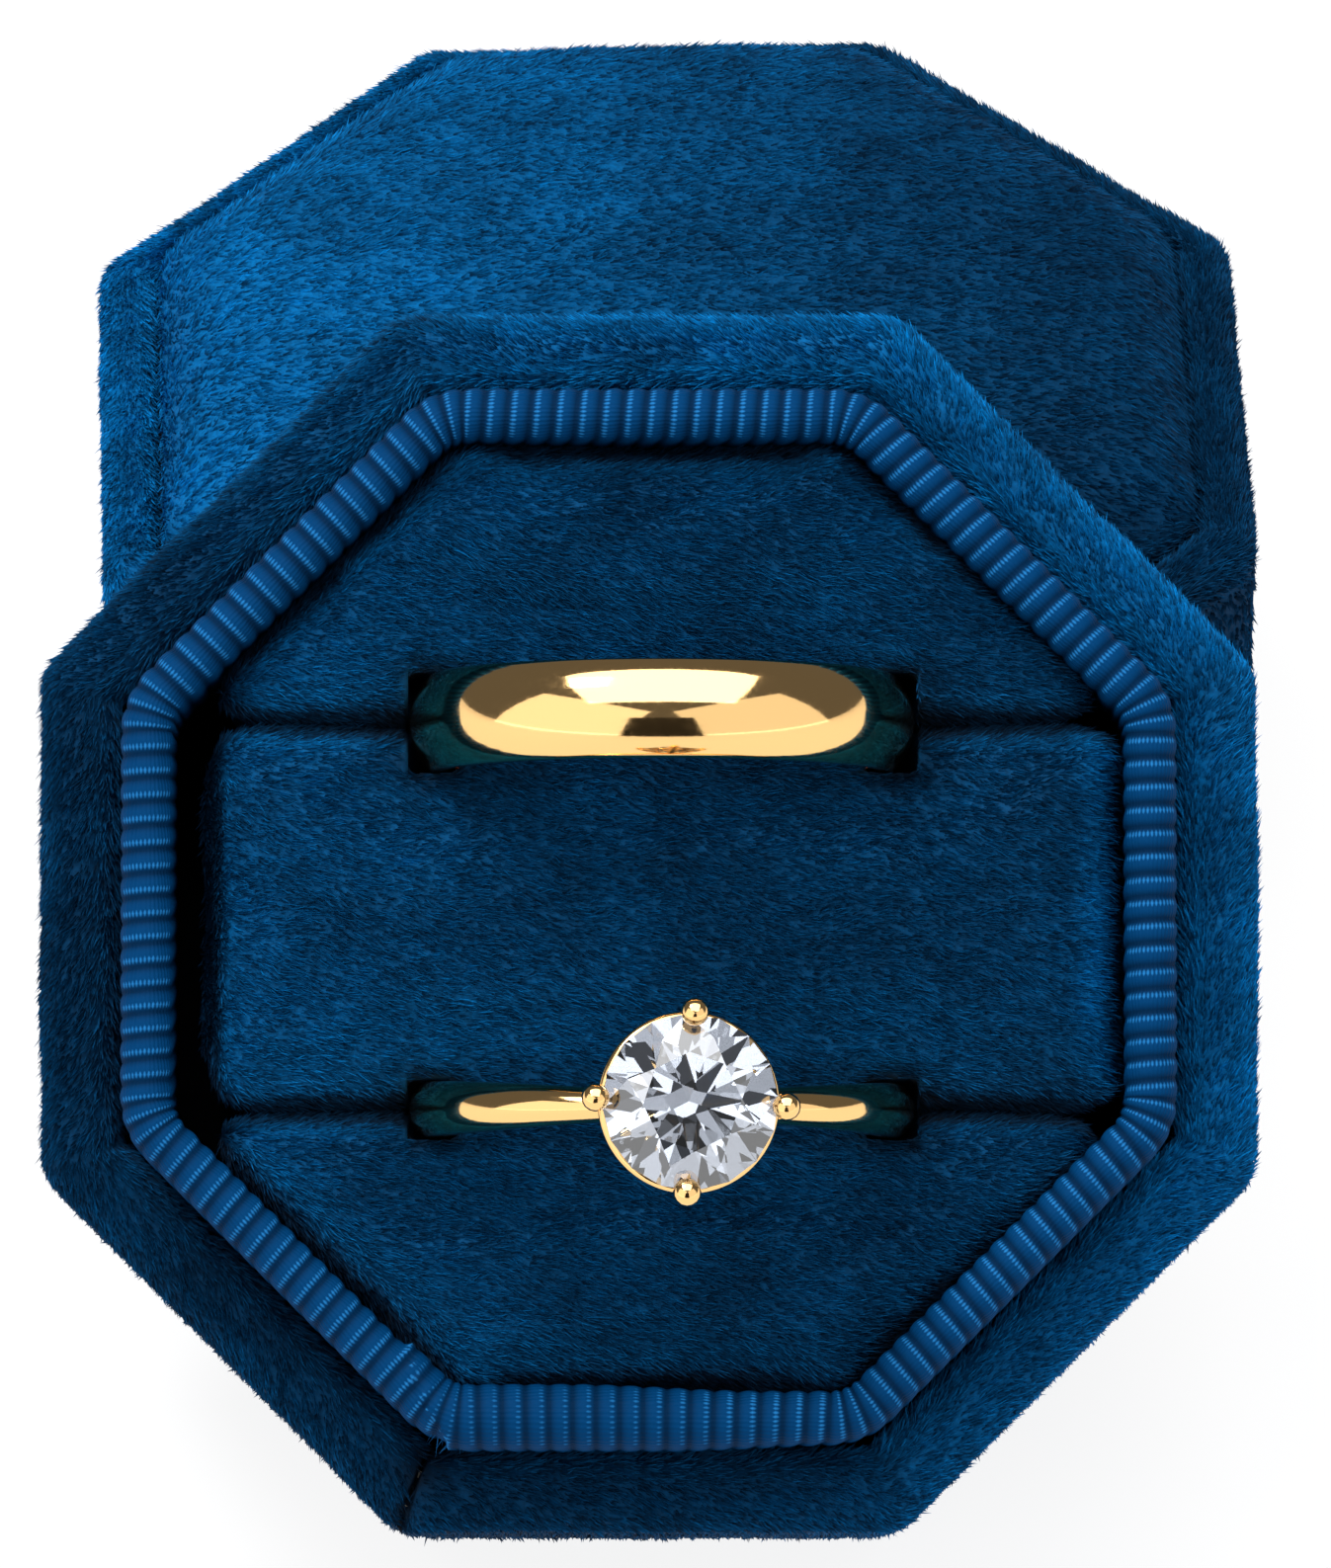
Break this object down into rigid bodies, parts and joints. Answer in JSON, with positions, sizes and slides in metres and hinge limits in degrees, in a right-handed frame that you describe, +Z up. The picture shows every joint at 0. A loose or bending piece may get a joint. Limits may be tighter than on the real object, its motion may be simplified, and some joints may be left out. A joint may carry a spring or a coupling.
{
  "type": "ring box",
  "caption": "Eight-sided velvet ring box with a lift-off lid, a ribbon-covered collar and a slit cushion that holds a plain band and a solitaire ring.",
  "frame": {"origin": "middle of the arrangement's footprint, on the table that the lid and the base's lower front edge stand on", "axes": "+Z up, -Y the way the open base faces, +X to its right hand as it is looked at"},
  "size_m": [0.0523, 0.0942, 0.053],
  "materials": {
    "velvet": "deep teal-navy velvet pile",
    "greyboard": "plain grey board",
    "ribbon": "blue ribbed ribbon with a slight sheen",
    "foam": "dark open-cell foam",
    "satin": "dark blue satin",
    "gold": "polished yellow gold",
    "stone": "clear cut stone"
  },
  "bodies": {
    "lid": {"lid_wall_velvet": "velvet", "lid_wall_board": "greyboard", "lid_roof_board": "greyboard", "lid_wall_lining": "satin", "lid_ceiling_card": "greyboard", "lid_ceiling_satin": "satin", "lid_panel_card": "greyboard", "lid_panel_foam": "foam", "lid_panel_velvet": "velvet"},
    "base": {"base_wall_velvet": "velvet", "base_wall_board": "greyboard", "base_floor_board": "greyboard", "base_underside_velvet": "velvet", "collar_board": "greyboard", "collar_ribbon": "ribbon"},
    "cushion": {"cushion_card": "greyboard", "back_pad_foam": "foam", "back_pad_velvet": "velvet", "middle_pad_foam": "foam", "middle_pad_velvet": "velvet", "front_pad_foam": "foam", "front_pad_velvet": "velvet"},
    "wedding_band": {"wedding_band": "gold"},
    "solitaire": {"solitaire_shank": "gold", "solitaire_head": "gold", "solitaire_stone": "stone"}
  },
  "joints": [
    {"name": "base_lift", "type": "slide", "parent": "lid", "child": "base", "axis": [0, -0.7009, 0.7133], "range_m": [0, 0.06]},
    {"name": "cushion_lift", "type": "slide", "parent": "base", "child": "cushion", "axis": [0, -0.7009, 0.7133], "range_m": [0, 0.03]},
    {"name": "wedding_band_lift", "type": "slide", "parent": "cushion", "child": "wedding_band", "axis": [0, -0.7009, 0.7133], "range_m": [0, 0.025]},
    {"name": "solitaire_lift", "type": "slide", "parent": "cushion", "child": "solitaire", "axis": [0, -0.7009, 0.7133], "range_m": [0, 0.025]}
  ]
}
